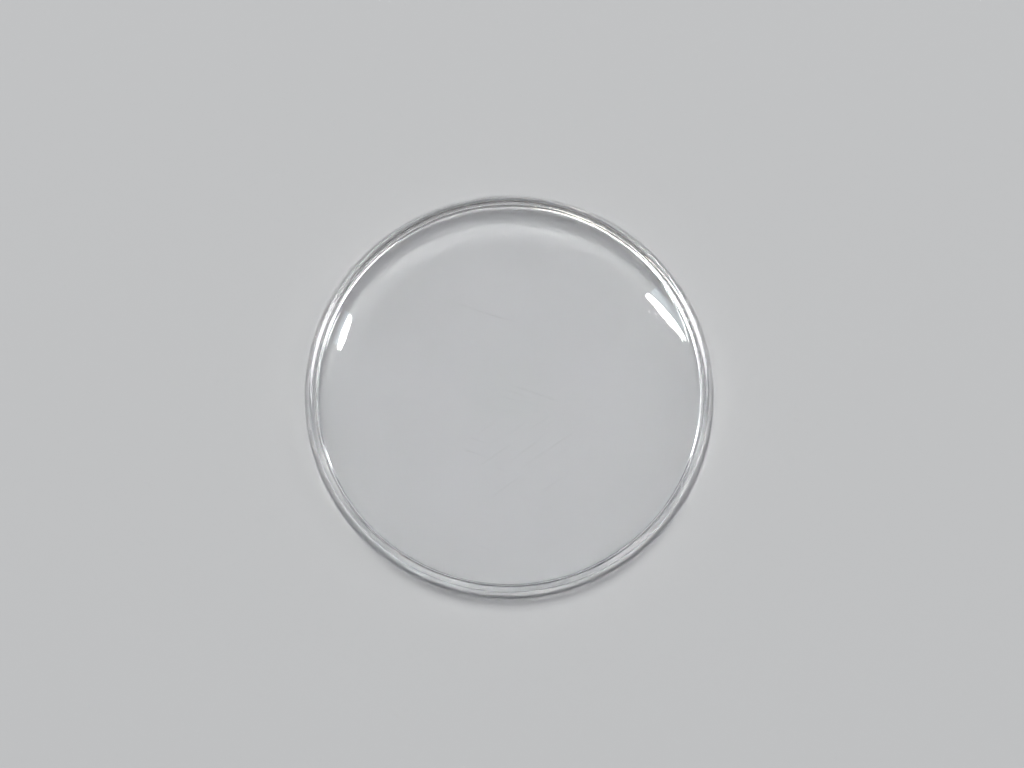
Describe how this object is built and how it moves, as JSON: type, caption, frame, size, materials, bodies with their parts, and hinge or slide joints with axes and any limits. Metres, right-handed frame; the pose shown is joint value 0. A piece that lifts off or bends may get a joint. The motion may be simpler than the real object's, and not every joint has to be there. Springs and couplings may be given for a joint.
{
  "type": "watch crystal",
  "caption": "Round clear acrylic watch crystal with a low dome, a rounded shoulder, a flared edge gripped by the case and a straight bore below.",
  "frame": {"origin": "centre of the bottom ring that the crystal stands on", "axes": "+Z along the crystal's axis, up through the top of the dome; X and Y are free, because the crystal is round"},
  "size_m": [0.032, 0.032, 0.0041],
  "materials": {
    "clear_acrylic": "clear colourless acrylic, polished dome and bore, fine turned satin on the outer wall"
  },
  "bodies": {
    "root": {"domed_crystal": "clear_acrylic"}
  },
  "joints": []
}
